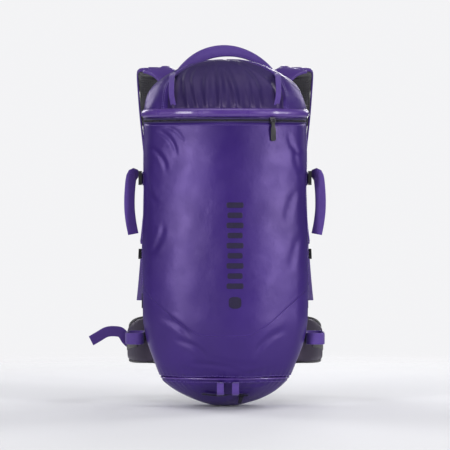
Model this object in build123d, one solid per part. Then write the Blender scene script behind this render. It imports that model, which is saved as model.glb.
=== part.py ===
from build123d import *
import os

# Ski-touring backpack with side ski carry, front tool pocket, padded back panel and harness.
# Frame: +Z up, +X to the wearer's right, +Y towards the wearer.  The wearer's back touches
# the plane Y = 0, so the bag lies in Y < 0 and the harness in Y > 0.  The origin is the
# centre of the lumbar pad's contact face.  Millimetres.

os.makedirs("parts", exist_ok=True)

# ---- driving dimensions -------------------------------------------------------------
BACK_Y = -18.0            # the bag's back face
FRONT_BOW = 1.62          # radius of the bowed front in plan, for each unit of half width
FRONT_CORNER = 0.30       # radius of the round front corners, likewise
BACK_RADIUS = 20.0
FABRIC = 3.0              # flap shell: face fabric, foam and lining
CLEAR = 0.5               # clearance between neighbouring soft pieces
WEB_THICK = 2.0           # webbing thickness

BOOT_TOP = -60.0          # seam between the base and the main bag
RIDGE_Z = 399.0           # seam between the main bag and the hood
FLAP_FOOT = 30.0          # fold line of the front flap
FLAP_TOP = 379.0
ZIP_Z = 382.6             # centre line of the front zip
ZIP_BAND = 4.2            # from that line to the far edge of the fixed tape
POCKET_TOP = 387.6
DIVIDER_Y = -130.0        # wall between the main compartment and the front pocket

# Bag stations: height, half width, front Y, back Y.  Straight (ruled) walls join them.
STATIONS = [
    (-110.0, 20.0, -92.0, -56.0),
    (-104.0, 42.0, -112.0, -34.0),
    (-94.0, 66.0, -132.0, -23.0),
    (-80.0, 90.0, -151.0, BACK_Y),
    (BOOT_TOP, 111.0, -169.0, BACK_Y),
    (-30.0, 124.0, -184.0, BACK_Y),
    (10.0, 137.0, -192.0, BACK_Y),
    (45.0, 142.0, -196.0, BACK_Y),
    (150.0, 143.0, -199.0, BACK_Y),
    (260.0, 140.5, -197.0, BACK_Y),
    (340.0, 142.0, -191.0, BACK_Y),
    (RIDGE_Z, 141.4, -183.0, BACK_Y),
    (412.0, 139.0, -180.0, BACK_Y),
    (440.0, 128.0, -168.0, BACK_Y),
    (466.0, 98.0, -146.0, -24.0),
    (481.0, 66.0, -126.0, -36.0),
    (490.0, 28.0, -102.0, -54.0),
]

# Harness and fittings
SKI_WEB = 20.0            # width of the ski-carry webbing
SKI_LOOP_GAP = 28.0       # clear opening of a lower ski loop, across
SKI_LOOP_LONG = 96.0      # and fore and aft
SKI_LOOP_Z = 7.0
SKI_STRAP_Z = 285.0
SKI_STRAP_X = 147.0
SKI_HINGE_Y = -30.0
PAD_WIDE = 62.0           # shoulder pad
PAD_THICK = 12.0
PAD_GAP = 5.0             # left at the top of the shoulder, where the pad swings
YOKE_APEX = (126.0, 78.0, 482.0)
LOCK_END = (143.0, 108.0, 150.0)
ANCHOR_END = (146.5, -12.0, 70.0)
BELT_HINGE_X = 118.0
BELT_Y = -4.0
BELT_THICK = 9.0
BELT_WEB = 25.0
BUCKLE_Y = 236.0
BUCKLE_Z = -20.0
LUMBAR_HALF = 112.0
HAUL_Y = -11.0
HAUL_AXIS_Z = 458.0
ZIP_BACK_X = 116.0
STASH_PARK = 13.0         # degrees round the bow from the middle to the parked stash slider


# ---- helpers ------------------------------------------------------------------------
def save(name, shape):
    export_step(Compound(children=[Solid(s.wrapped) for s in shape.solids()], label=name),
                f"parts/{name}.step")


def both_sides(name, shape):
    """A right-hand piece and its mirror image on the left."""
    save(f"{name}_right", shape)
    save(f"{name}_left", mirror(shape, about=Plane.YZ))


def station(z):
    """Half width, front Y and back Y of the bag at height z."""
    for low, high in zip(STATIONS, STATIONS[1:]):
        if low[0] <= z <= high[0]:
            t = (z - low[0]) / (high[0] - low[0])
            return [a + t * (b - a) for a, b in zip(low[1:], high[1:])]
    raise ValueError(f"height {z} is outside the bag")


def on_front(x, z, out=0.0):
    """Plane on the bowed front at (x, z), moved out by out: its z faces outward, its y up."""
    half, front, _ = station(z)
    bow = FRONT_BOW * half
    normal = Vector(x / bow, -((1 - (x / bow) ** 2) ** 0.5), 0)
    return Plane(origin=Vector(0, front + bow, z) + normal * (bow + out),
                 x_dir=(-normal.Y, normal.X, 0), z_dir=normal)


def plan_section(z, inset=0.0):
    """Plan section of the bag at height z, drawn in by inset: bowed front, round corners."""
    half, front, back = station(z)
    half, front, back = half - inset, front + inset, back - inset
    bow, front_r = FRONT_BOW * half, FRONT_CORNER * half
    back_r = min(BACK_RADIUS, 0.4 * half, 0.3 * (back - front))
    bow_y = front + bow
    corner_y = bow_y - ((bow - front_r) ** 2 - (half - front_r) ** 2) ** 0.5
    corner = Vector(half - front_r, corner_y)
    reach = (corner - Vector(0, bow_y)).normalized()
    meet = Vector(0, bow_y) + reach * bow
    middle = corner + (reach + Vector(1, 0)).normalized() * front_r
    left = back_r * 0.5 ** 0.5
    with BuildSketch(Plane.XY.offset(z)) as sketch:
        with BuildLine():
            ThreePointArc((-meet.X, meet.Y), (0, front), (meet.X, meet.Y))
            ThreePointArc((meet.X, meet.Y), (middle.X, middle.Y), (half, corner_y))
            Line((half, corner_y), (half, back - back_r))
            ThreePointArc((half, back - back_r), (half - back_r + left, back - back_r + left),
                          (half - back_r, back))
            Line((half - back_r, back), (back_r - half, back))
            ThreePointArc((back_r - half, back), (back_r - half - left, back - back_r + left),
                          (-half, back - back_r))
            Line((-half, back - back_r), (-half, corner_y))
            ThreePointArc((-half, corner_y), (-middle.X, middle.Y), (-meet.X, meet.Y))
        make_face()
    return sketch.sketch


def bag_slice(z0, z1, inset=0.0):
    """Solid of the bag between two heights."""
    heights = [z0] + [s[0] for s in STATIONS if z0 < s[0] < z1] + [z1]
    return loft([plan_section(z, inset) for z in heights], ruled=True)


def block(x0, x1, y0, y1, z0, z1, radius=0.0):
    """Box between two corners, its upright edges rounded."""
    box = Pos((x0 + x1) / 2, (y0 + y1) / 2, (z0 + z1) / 2) * Box(x1 - x0, y1 - y0, z1 - z0)
    return fillet(box.edges().filter_by(Axis.Z), radius) if radius else box


def panel(x0, x1, y0, y1, z0, z1, radius):
    """Flat panel facing Y, with round corners."""
    face = Plane.XZ.offset(-y1) * Pos((x0 + x1) / 2, (z0 + z1) / 2) \
        * RectangleRounded(x1 - x0, z1 - z0, radius)
    return extrude(face, y1 - y0)


def strip_faces(points, width_dir, widths, thick):
    """Rectangles set square to a path at each of its points.

    width_dir and widths are one value, or one for each point.
    """
    points = [Vector(*p) for p in points]
    dirs = width_dir if isinstance(width_dir, list) else [width_dir] * len(points)
    widths = widths if isinstance(widths, list) else [widths] * len(points)
    runs = [(b - a).normalized() for a, b in zip(points, points[1:])]
    faces = []
    for i, (point, across, width) in enumerate(zip(points, dirs, widths)):
        along = (runs[max(i - 1, 0)] + runs[min(i, len(runs) - 1)]).normalized()
        across = Vector(*across)
        across = (across - along * across.dot(along)).normalized()
        faces.append(Plane(origin=point, x_dir=across, z_dir=along) * Rectangle(width, thick))
    return faces


def strip(points, width_dir, widths, thick):
    """Webbing or pad that joins the rectangles along its path."""
    return loft(strip_faces(points, width_dir, widths, thick), ruled=True)


def ring(plane, long, wide, radius, height, thick=WEB_THICK):
    """Closed band of webbing round a clear opening of long by wide."""
    outer = RectangleRounded(long + 2 * thick, wide + 2 * thick, radius + thick)
    return extrude(plane * (outer - RectangleRounded(long, wide, radius)), height)


def zip_slider(plane, pull_long):
    """Slider and its pull.  plane: origin on the chain, z outward, -y the way the pull hangs."""
    pin_r, pin_z, ear_x = 1.0, 5.6, 3.4
    body = Pos(0, 0, 1.9) * Box(9, 11, 3.2)
    for side in (-1, 1):
        body += Pos(side * (ear_x + 0.6), 0, 4.9) * Box(1.2, 4.4, 3.6)
    body += Pos(0, 0, pin_z) * Rot(0, 90, 0) * Cylinder(pin_r, 2 * ear_x + 1)
    eye = Pos(0, 0, pin_z) * Rot(0, 90, 0) * Cylinder(2.0, 2 * ear_x - 0.6)
    tab = Pos(0, -pull_long / 2 - 1, pin_z) * Box(2 * ear_x - 0.6, pull_long, 1.6)
    grip = Pos(0, -pull_long * 0.68, pin_z) * Box(9, pull_long * 0.62, 2.6)
    hole = Pos(0, 0, pin_z) * Rot(0, 90, 0) * Cylinder(pin_r + 0.05, 20)
    return plane * body, plane * (eye + tab + grip - hole)


def buckle_female(plane, wide, long, thick, wall):
    """Socket half, open towards +x of the plane, with its cavity."""
    body = Pos(-long / 2, 0, 0) * Box(long, wide, thick)
    body = fillet(body.edges().filter_by(Axis.Z), 0.18 * wide)
    cavity = Pos(-long * 0.32, 0, 0) * Box(long * 0.66, wide - 2 * wall, thick - 2 * wall)
    return plane * (body - cavity)


def buckle_male(plane, wide, long, thick, prong):
    """Plug half: body on the +x side, two prongs and a guide pointing to -x."""
    body = Pos(long / 2, 0, 0) * Box(long, wide, thick)
    body = fillet(body.edges().filter_by(Axis.Z), 0.14 * wide)
    for shift, width in ((-0.32, 0.16), (0.32, 0.16), (0.0, 0.14)):
        body += Pos(-prong / 2 + 1, shift * wide, 0) * Box(prong + 2, width * wide, thick * 0.4)
    return plane * body


# ---- bag ----------------------------------------------------------------------------
def bag_body():
    pocket = block(-170, 170, -260, DIVIDER_Y, FLAP_FOOT, POCKET_TOP)
    save("main_bag", bag_slice(BOOT_TOP + CLEAR, RIDGE_Z) - pocket)
    save("bottom_boot", bag_slice(STATIONS[0][0], BOOT_TOP))
    save("top_hood", bag_slice(RIDGE_Z + CLEAR, STATIONS[-1][0]))
    front_only = block(-170, 170, -260, DIVIDER_Y - 5, 380, 410)
    ridge = bag_slice(RIDGE_Z - 8.5, RIDGE_Z + 2.5, -4.0) - bag_slice(RIDGE_Z - 10, RIDGE_Z + 4, -0.4)
    save("storm_flap", ridge & front_only)


def front_pocket():
    """Flap that folds down at its foot, its zip, the divider and the tool sleeves behind it."""
    edge = DIVIDER_Y - 1.5
    flap_room = block(-170, 170, -260, edge, FLAP_FOOT - 2, ZIP_Z + 8)
    shell = bag_slice(FLAP_FOOT + 0.3, FLAP_TOP) - bag_slice(FLAP_FOOT - 1, FLAP_TOP + 1, FABRIC)
    save("front_flap", shell & flap_room)

    chain_room = block(-170, 170, -260, -158, FLAP_FOOT, ZIP_Z + 8)

    def chain(z0, z1):
        band = bag_slice(z0, z1, -0.6) - bag_slice(z0 - 1, z1 + 1, FABRIC)
        return band & chain_room

    save("flap_zip_chain", chain(FLAP_TOP + 0.1, ZIP_Z - 1.2))
    save("front_zip_chain", chain(ZIP_Z + 1.2, ZIP_Z + ZIP_BAND))
    slider, pull = zip_slider(on_front(80, ZIP_Z, 0.9), 34)
    save("front_zip_slider", slider)
    save("front_zip_pull", pull)

    save("pocket_divider", panel(-132, 132, DIVIDER_Y - 1.8, DIVIDER_Y - 0.3, 36, 378, 20))
    deep, wall = 18.0, 2.0
    y1 = DIVIDER_Y - 2.1
    sleeve = block(-96, 96, y1 - deep, y1, 60, 230)
    for x0, x1 in ((-94, -32), (-30, 30), (32, 94)):
        sleeve -= block(x0, x1, y1 - deep + wall, y1 - wall, 62, 240)
    save("tool_sleeve", sleeve)


def base_fittings():
    """Small stash pocket zip and two tool loops under the front."""
    low, high = STATIONS[2], STATIONS[3]
    slope = Vector(0, high[2] - low[2], high[0] - low[0]).normalized()
    out = Vector(0, -slope.Z, slope.Y).normalized()
    if out.Y > 0:
        out = -out
    middle = Vector(0, (low[2] + high[2]) / 2, (low[0] + high[0]) / 2) + out * 1.6
    bow = FRONT_BOW * station(middle.Z)[0]
    bend = Vector(0, bow - (bow ** 2 - 21 ** 2) ** 0.5, 0)
    points = [middle + Vector(21 * step, 0, 0) + bend * step ** 2 for step in (-2, -1, 0, 1, 2)]
    save("stash_zip_chain", strip([tuple(p) for p in points], tuple(slope), 7, 1.8))
    turn = Vector(out).rotate(Axis.Z, STASH_PARK)
    pivot = Vector(0, middle.Y + bow, middle.Z)
    spot = pivot + (middle - pivot).rotate(Axis.Z, STASH_PARK)
    plane = Plane(origin=spot + turn * 1.2, x_dir=Vector(1, 0, 0).rotate(Axis.Z, STASH_PARK), z_dir=turn)
    body = Pos(0, 0, 1.9) * Box(8, 9, 3.0) + Pos(0, -9, 3.6) * Box(6, 20, 1.6)
    save("stash_zip_slider", plane * body)
    for side, x in (("left", -14), ("right", 12)):
        y = station(-67)[1] - 10
        loop = ring(Plane(origin=(x, y, -76), x_dir=(0, 1, 0), z_dir=(1, 0, 0)), 12, 18, 5, 12)
        save(f"tool_loop_{side}", loop)


def hood_fittings():
    stands = ((411, 2), (419, 9.5), (440, 9.5), (455, 9.5), (463, 3))
    planes = [on_front(88, z, proud) for z, proud in stands]
    points = [tuple(plane.origin) for plane in planes]
    both_sides("lash_loop", strip(points, tuple(planes[0].x_dir), 10, WEB_THICK))


def haul_loop():
    with BuildSketch(Plane.XZ.offset(-HAUL_Y - 3)) as sketch:
        with BuildLine():
            ThreePointArc((-102, 452), (-4, 521), (104, 452))
            Line((104, 452), (84, 452))
            ThreePointArc((84, 452), (-4, 501), (-82, 452))
            Line((-82, 452), (-102, 452))
        make_face()
    save("haul_loop", extrude(sketch.sketch, 6))


# ---- back panel ---------------------------------------------------------------------
def back_panel():
    save("frame_sheet", panel(-104, 104, BACK_Y + 0.4, BACK_Y + 1.9, -42, 436, 24))
    stay_y = BACK_Y + 2.1
    both_sides("stay", panel(42, 54, stay_y, stay_y + 2.5, -30, 424, 3))
    foam_y = BACK_Y + 4.9
    save("back_foam", panel(-110, 110, foam_y, foam_y + 4, -46, 442, 34))
    pad_y = foam_y + 4.2
    both_sides("back_pad", panel(22, 104, pad_y, -0.6, 84, 372, 26))
    save("lumbar_pad", panel(-LUMBAR_HALF, LUMBAR_HALF, pad_y, 0, -46, 46, 20))

    chain_y = BACK_Y + 0.4
    arch = panel(-ZIP_BACK_X - 3, ZIP_BACK_X + 3, chain_y, chain_y + 1.5, 60, 450, 36)
    arch -= panel(-ZIP_BACK_X + 3, ZIP_BACK_X - 3, chain_y - 1, chain_y + 3, 50, 444, 30)
    arch -= block(-ZIP_BACK_X + 3, ZIP_BACK_X - 3, chain_y - 1, chain_y + 3, 50, 100)
    save("back_zip_chain", arch)
    slider, pull = zip_slider(Plane(origin=(ZIP_BACK_X, chain_y + 1.8, 372), x_dir=(-1, 0, 0),
                                    z_dir=(0, 1, 0)), 30)
    save("back_zip_slider", slider)
    save("back_zip_pull", pull)


# ---- ski carry ----------------------------------------------------------------------
def ski_carry():
    reach = SKI_LOOP_GAP + 2 * WEB_THICK
    centre = Plane(origin=(141 + reach / 2, -68, SKI_LOOP_Z - SKI_WEB / 2))
    both_sides("ski_loop", ring(centre, SKI_LOOP_GAP, SKI_LOOP_LONG, 11, SKI_WEB))

    x, z = SKI_STRAP_X, SKI_STRAP_Z
    band_path = [(x, SKI_HINGE_Y - 2, z), (x + 0.5, -60, z), (x, -106, z)]
    band = strip(band_path, (0, 0, 1), SKI_WEB, WEB_THICK)
    tail_path = [(x + 13, -117, z + 8), (x + 18, -119, z - 22), (x + 18, -120, z - 52),
                 (x + 12, -120, z - 96)]
    tail = strip(tail_path, (0.9, -0.44, 0), SKI_WEB, WEB_THICK)
    both_sides("ski_strap", Compound(children=[band, tail]))
    hook = block(x - 3, x + 2.5, -124, -107, z - 12, z + 12)
    hook -= block(x - 4, x + 0.3, -120.5, -114, z - 9, z + 9)
    both_sides("ski_strap_hook", hook)
    both_sides("strap_catch", block(143.4, x + 2, -137, -126, z - 12, z + 12)
               - block(145.2, x + 3, -133.5, -129.5, z - 8, z + 8))


# ---- harness ------------------------------------------------------------------------
def shoulder_straps():
    ax, ay, az = YOKE_APEX
    back = [(70, -2.5, 386), (73, 6, 416), (84, 24, 447), (102, 48, 470), (ax, ay, az)]
    chest = [(ax + 5, ay + 32, az - 6), (ax + 3, 140, 440), (126, 166, 405), (118, 182, 320),
             (118, 180, 260), (128, 158, 205), (140, 124, 168)]
    turn = [(1, 0, 0), (1, -0.12, 0), (1, -0.32, 0), (1, -0.42, 0), (1, -0.22, 0)]
    faces = strip_faces(back + chest, turn + [(1, 0, 0)] * len(chest),
                        [54, 56, 58, 60, PAD_WIDE, PAD_WIDE, 64, 66, 66, 62, 52, 34], PAD_THICK)
    apex = faces[len(back) - 1]
    along = apex.face().normal_at()
    if along.Y < 0:
        along = -along
    half_gap = Vector(along) * (PAD_GAP / 2)
    both_sides("shoulder_yoke", loft(faces[:len(back) - 1] + [Pos(-half_gap) * apex], ruled=True))
    both_sides("shoulder_pad", loft([Pos(half_gap) * apex] + faces[len(back):], ruled=True))

    lock, anchor = Vector(*LOCK_END), Vector(*ANCHOR_END)
    along = (anchor - lock).normalized()
    web = strip([tuple(lock + along * 17), tuple(anchor - along)], (1, 0, 0), 20, WEB_THICK)
    both_sides("shoulder_webbing", web)
    face = Plane(origin=lock, x_dir=(1, 0, 0), z_dir=Vector(1, 0, 0).cross(along))
    body = Box(28, 26, 4.5) - Pos(0, 4, 0) * Box(21, 5, 10) - Pos(0, -5, 0) * Box(21, 5, 10)
    both_sides("ladder_lock", face * body)
    x = ANCHOR_END[0]
    both_sides("strap_anchor", block(x - 2.4, x + 0.2, -36, -14, 57, 83))


def sternum():
    """Rail on each shoulder pad, a clip that slides on it, and a strap with half a buckle."""
    top, low = Vector(126, 166, 405), Vector(118, 182, 320)
    along = (low - top).normalized()
    out = Vector(1, 0, 0).cross(along).normalized()
    if out.Y < 0:
        out = -out
    centre = (top + low) * 0.5 + out * (PAD_THICK / 2 + 3.6)
    rail_plane = Plane(origin=centre, x_dir=out, z_dir=along)
    rail = Cylinder(1.5, 84)
    for end in (-1, 1):
        rail += Pos(-0.7, 0, end * 42) * Box(4.6, 8, 5)
    both_sides("sternum_rail", rail_plane * rail)

    # the clip's local axes: x outward, y across towards the middle, z along the rail
    across = along.cross(out)
    inward = 1 if across.X < 0 else -1
    clip = Pos(0.6, 0, 0) * Box(5.6, 10, 14) - Cylinder(1.55, 40)
    web = Pos(2.4, inward * 45, 0) * Box(1.6, 82, 16)
    half_web = clip + web
    both_sides("sternum_strap", rail_plane * half_web)
    tip = rail_plane * Pos(2.4, inward * 86, 0)
    origin = tip.position
    male = buckle_male(Plane(origin=origin - Vector(15, 0, 0), x_dir=(1, 0, 0), z_dir=(0, 1, 0)),
                       22, 14, 8, 9)
    save("sternum_buckle_male", male)
    mirrored = Plane(origin=(-origin.X + 20, origin.Y, origin.Z), x_dir=(1, 0, 0), z_dir=(0, 1, 0))
    save("sternum_buckle_female", buckle_female(mirrored, 22, 19, 8, 1.4))


def hip_belt():
    x = BELT_HINGE_X + 1
    pad_path = [(x, BELT_Y, 0), (136, 3, 0), (156, 24, -3), (168, 62, -8), (172, 105, -13),
                (167, 140, -16)]
    pad = strip(pad_path, (0, 0, 1), [88, 88, 84, 76, 64, 48], BELT_THICK)
    both_sides("hip_pad", pad)
    web_path = [(166, 146, -16), (152, 184, -18), (120, 215, -19), (82, 232, BUCKLE_Z),
                (48, BUCKLE_Y, BUCKLE_Z)]
    web = strip(web_path, (0, 0, 1), BELT_WEB, WEB_THICK)
    both_sides("hip_webbing", web)
    plane = Plane(origin=(-8, BUCKLE_Y, BUCKLE_Z), x_dir=(1, 0, 0), z_dir=(0, 1, 0))
    save("hip_buckle_female", buckle_female(plane, 36, 38, 11, 2.2))
    plane = Plane(origin=(20, BUCKLE_Y, BUCKLE_Z), x_dir=(1, 0, 0), z_dir=(0, 1, 0))
    save("hip_buckle_male", buckle_male(plane, 36, 26, 11, 18))
    tail = strip([(-181, 132, -6), (-194, 126, 8), (-214, 119, 8), (-243, 108, -8)],
                 (0.35, 0.1, 1), 19, WEB_THICK)
    save("hip_webbing_tail", tail)


for build in (bag_body, front_pocket, base_fittings, hood_fittings, haul_loop, back_panel,
              ski_carry, shoulder_straps, sternum, hip_belt):
    build()
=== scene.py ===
"""Ski backpack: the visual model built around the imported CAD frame.

Metres, +Z up, +X to the wearer's right, +Y towards the wearer.
"""
import math

import bmesh
import bpy
import numpy as np
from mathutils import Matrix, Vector


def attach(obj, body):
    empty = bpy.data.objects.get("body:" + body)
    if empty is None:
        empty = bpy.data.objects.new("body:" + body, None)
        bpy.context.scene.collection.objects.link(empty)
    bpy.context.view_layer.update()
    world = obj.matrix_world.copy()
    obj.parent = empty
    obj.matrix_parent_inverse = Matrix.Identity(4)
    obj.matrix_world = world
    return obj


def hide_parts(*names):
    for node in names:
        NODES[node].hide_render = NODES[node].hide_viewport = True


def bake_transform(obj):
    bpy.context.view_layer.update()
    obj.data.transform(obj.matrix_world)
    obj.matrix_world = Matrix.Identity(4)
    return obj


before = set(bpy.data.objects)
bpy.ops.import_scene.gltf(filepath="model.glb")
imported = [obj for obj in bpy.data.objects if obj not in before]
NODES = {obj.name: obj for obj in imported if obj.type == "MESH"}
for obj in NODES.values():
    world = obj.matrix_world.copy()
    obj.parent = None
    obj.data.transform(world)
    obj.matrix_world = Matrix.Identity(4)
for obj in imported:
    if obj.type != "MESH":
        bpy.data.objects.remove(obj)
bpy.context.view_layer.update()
MM = 0.001

# ---- the bag's form, as in the CAD source -------------------------------------------
BOW, CORNER, BACK_R = 1.62, 0.30, 20 * MM
STATIONS = np.array([  # height, half width, front Y, back Y
    (-111.0, 3, -76, -70), (-110, 20, -92, -56), (-104, 42, -112, -34), (-94, 66, -132, -23),
    (-80, 90, -151, -18), (-60, 111, -169, -18), (-30, 124, -184, -18), (10, 137, -192, -18),
    (45, 142, -196, -18), (150, 143, -199, -18), (260, 140.5, -197, -18), (340, 142, -191, -18),
    (399, 141.4, -183, -18), (412, 139, -180, -18), (440, 128, -168, -18), (466, 98, -146, -24),
    (481, 66, -126, -36), (490, 28, -102, -54), (491.5, 3, -80, -76)]) * MM
SEAM_BOOT, SEAM_HOOD = -60 * MM, 399 * MM
FLAP_TOP, POCKET_TOP, ZIP_Z = 379 * MM, 387.6 * MM, 382.6 * MM
DIVIDER_Y = -130 * MM
HOOD_HALF = 0.095      # half width of the hood's dark centre, before it is fitted to its seams
FLOOR_Z = -0.1125
SIM_FRAMES = 20
L1, L2, L3, L4, L5 = (0.1286, 0.1717, 0.2617, 0.2930, 0.4150)   # distance round from the front
FLAP_EDGE = 0.166
PHI = math.asin((1 - CORNER) / (BOW - CORNER))


# ---- numbers ------------------------------------------------------------------------
def unit(v):
    return v / np.maximum(np.linalg.norm(v, axis=-1, keepdims=True), 1e-12)


def ease(t):
    t = np.clip(t, 0, 1)
    return t * t * (3 - 2 * t)


def curve(xs, ys, monotone=False):
    """Smooth curve through points; ys may have several columns."""
    xs, ys = np.asarray(xs, float), np.asarray(ys, float)
    flat = ys.ndim == 1
    ys = ys[:, None] if flat else ys
    h = np.diff(xs)[:, None]
    d = np.diff(ys, axis=0) / h
    m = np.zeros_like(ys)
    m[0], m[-1] = d[0], d[-1]
    if monotone:
        same = d[1:] * d[:-1] > 0
        total = np.where(same, d[1:] + d[:-1], 1)
        m[1:-1] = np.where(same, 2 * d[1:] * d[:-1] / total, 0)
    else:
        m[1:-1] = (ys[2:] - ys[:-2]) / (xs[2:] - xs[:-2])[:, None]

    def at(x):
        x = np.clip(np.asarray(x, float), xs[0], xs[-1])
        i = np.clip(np.searchsorted(xs, x) - 1, 0, len(h) - 1)
        t = ((x - xs[i]) / h[i, 0])[..., None]
        out = ((1 + 2 * t) * (1 - t) ** 2 * ys[i] + t * (1 - t) ** 2 * h[i] * m[i]
               + t * t * (3 - 2 * t) * ys[i + 1] + t * t * (t - 1) * h[i] * m[i + 1])
        return out[..., 0] if flat else out
    return at


def bell(x, width):
    return np.exp(-(x / width) ** 2)


def swell(a, b, seed, count, length):
    """Soft uneven field over two coordinates, about -1 to 1."""
    rng = np.random.default_rng(seed)
    total = 0
    for _ in range(count):
        turn = rng.uniform(0, 2 * math.pi)
        k = 2 * math.pi / (length * rng.uniform(0.6, 1.5))
        total = total + np.sin(k * (a * math.cos(turn) + b * math.sin(turn)) + rng.uniform(0, 6.28))
    return total / math.sqrt(count)


def crease(a, b, p, q, bend, width):
    """A wrinkle along a bowed line from p to q: a valley between two low ridges."""
    d = np.array(q, float) - p
    size = math.hypot(*d)
    t = ((a - p[0]) * d[0] + (b - p[1]) * d[1]) / size ** 2
    s = ((a - p[0]) * -d[1] + (b - p[1]) * d[0]) / size - bend * 4 * t * (1 - t)
    u = (s / width) ** 2
    return -(1 - 1.1 * u) * np.exp(-u) * ease(t / 0.3) * ease((1 - t) / 0.3)


# ---- the bag's surface --------------------------------------------------------------
_steps = np.hypot(np.hypot(*np.diff(STATIONS[:, :2], axis=0).T),
                  np.diff(STATIONS[:, 3] - STATIONS[:, 2]) / 2)
RUN = np.concatenate([[0], np.cumsum(_steps)])
PROFILE = [curve(RUN, STATIONS[:, i], monotone=True) for i in range(4)]
_fine = np.linspace(0, RUN[-1], 6000)
_fine_z = PROFILE[0](_fine)


def run_at(z):
    return np.interp(z, _fine_z, _fine)


def bag_surface(l, v):
    """Point l metres round from the middle of the front, v metres up the profile."""
    l, v = np.broadcast_arrays(np.asarray(l, float), np.asarray(v, float))
    z, half, front, back = (p(v) for p in PROFILE)
    side, a = np.where(l < 0, -1.0, 1.0), np.abs(l)
    bow, r = BOW * half, CORNER * half
    bow_y = front + bow
    cy = bow_y - np.sqrt((bow - r) ** 2 - (half - r) ** 2)
    back_r = np.minimum(np.minimum(BACK_R, 0.4 * half), 0.3 * (back - front))
    t1 = np.clip(a / L1, 0, 1) * PHI
    t2 = PHI + np.clip((a - L1) / (L2 - L1), 0, 1) * (math.pi / 2 - PHI)
    t3 = np.clip((a - L2) / (L3 - L2), 0, 1)
    t4 = np.clip((a - L3) / (L4 - L3), 0, 1) * math.pi / 2
    t5 = np.clip((a - L4) / (L5 - L4), 0, 1)
    zone = [a <= L1, a <= L2, a <= L3, a <= L4]
    x = np.select(zone, [bow * np.sin(t1), half - r + r * np.sin(t2), half,
                         half - back_r + back_r * np.cos(t4)], (half - back_r) * (1 - t5))
    y = np.select(zone, [bow_y - bow * np.cos(t1), cy - r * np.cos(t2),
                         cy + (back - back_r - cy) * t3, back - back_r + back_r * np.sin(t4)], back)
    return np.stack([side * x, y, z], -1)


def bag_normal(l, v):
    e = 3e-4
    du = bag_surface(l + e, v) - bag_surface(l - e, v)
    dv = bag_surface(l, v + e) - bag_surface(l, v - e)
    return unit(np.cross(du, dv))


def bag(l, v, out=0.0):
    l, v, out = np.broadcast_arrays(l, v, out)
    return bag_surface(l, v) + bag_normal(l, v) * np.asarray(out)[..., None]


def round_from(x, z):
    """Distance round from the middle of the front of the point at x on the bow, height z."""
    half = PROFILE[1](run_at(z))
    return np.arcsin(np.clip(x / (BOW * half), -0.99, 0.99)) / PHI * L1


def sided(k, points):
    """Points given for the right side, moved to side k."""
    return [(k * x, y, z) for x, y, z in points]


def flap_low(l):
    """Height of the front panel's lower edge: a wide, soft U."""
    return curve(np.array([0, 38, 74, 108, 140, 166, 246, 415]) * MM,
                 np.array([14, 15, 33, 60, 84, 100, 30, 30]) * MM, monotone=True)(np.abs(l))


# stuffing, slack and wrinkles of the skin: (from l,z) (to l,z) bow, depth, width, in mm
CREASES = [
    ((-128, 368), (-84, 318), 12, 1.5, 5), ((-112, 372), (-70, 342), 9, 1.1, 4),
    ((-140, 338), (-104, 290), 10, 1.3, 6), ((-150, 300), (-118, 236), -8, 1.2, 7),
    ((112, 366), (146, 322), -9, 1.1, 7), ((126, 340), (150, 280), -7, 0.9, 8),
    ((108, 196), (136, 272), 6, 0.9, 11), ((116, 120), (142, 200), 5, 0.7, 10),
    ((-138, 150), (-108, 214), -8, 1.0, 8), ((-120, 46), (-58, 6), 10, 1.6, 8),
    ((-96, 8), (-30, -26), 9, 1.4, 7), ((52, -22), (118, 26), 10, 1.5, 8),
    ((-84, -34), (40, -46), 5, 1.8, 6), ((-40, -18), (88, -36), -6, 1.2, 7),
    ((-108, -44), (-52, -50), 4, 1.2, 5), ((30, -48), (104, -40), -4, 1.3, 5),
    ((178, 340), (250, 300), 10, 1.6, 8), ((176, 250), (256, 210), -12, 1.4, 9),
    ((182, 120), (250, 70), 12, 1.6, 9), ((-250, 330), (-180, 290), 12, 1.6, 8),
    ((-252, 220), (-178, 190), -10, 1.4, 9), ((-246, 96), (-184, 60), 10, 1.6, 9),
    ((186, 20), (244, -20), 8, 1.4, 7), ((-240, 10), (-190, -24), 8, 1.4, 7),
]
BOOT_CREASES = [
    ((-112, -66), (30, -72), 4, 1.8, 4), ((-70, -80), (-10, -84), -3, 1.4, 4),
    ((40, -70), (110, -64), -3, 1.5, 4), ((30, -84), (80, -78), 3, 1.2, 4),
]


def wrinkled(d, l, z, creases):
    for p, q, bow, depth, width in creases:
        d = d + depth * MM * crease(l, z, np.array(p) * MM, np.array(q) * MM, bow * MM, width * MM)
    return d


def skin_relief(l, z):
    """How far the skin stands off the smooth form."""
    d = 1.1 * MM * swell(l, z * 0.35, 11, 7, 0.170) + 0.26 * MM * swell(l, z * 0.6, 5, 9, 0.058)
    d = wrinkled(d, l, z, CREASES)
    for seam in (SEAM_BOOT, SEAM_HOOD):   # short puckers where the skin is sewn down
        near = bell(z - seam, 0.013)
        d = d + 0.55 * MM * near * np.sin(l / 0.0023 + 2.2 * np.sin(l / 0.021))
        d = d - 2.0 * MM * bell(z - seam, 0.0028)
    return d


# ---- mesh building ------------------------------------------------------------------
def sharpen(o, degrees=38):
    bm = bmesh.new()
    bm.from_mesh(o.data)
    for f in bm.faces:
        f.smooth = True
    for e in bm.edges:
        e.smooth = len(e.link_faces) != 2 or e.calc_face_angle(0) < math.radians(degrees)
    bm.to_mesh(o.data)
    bm.free()


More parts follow.
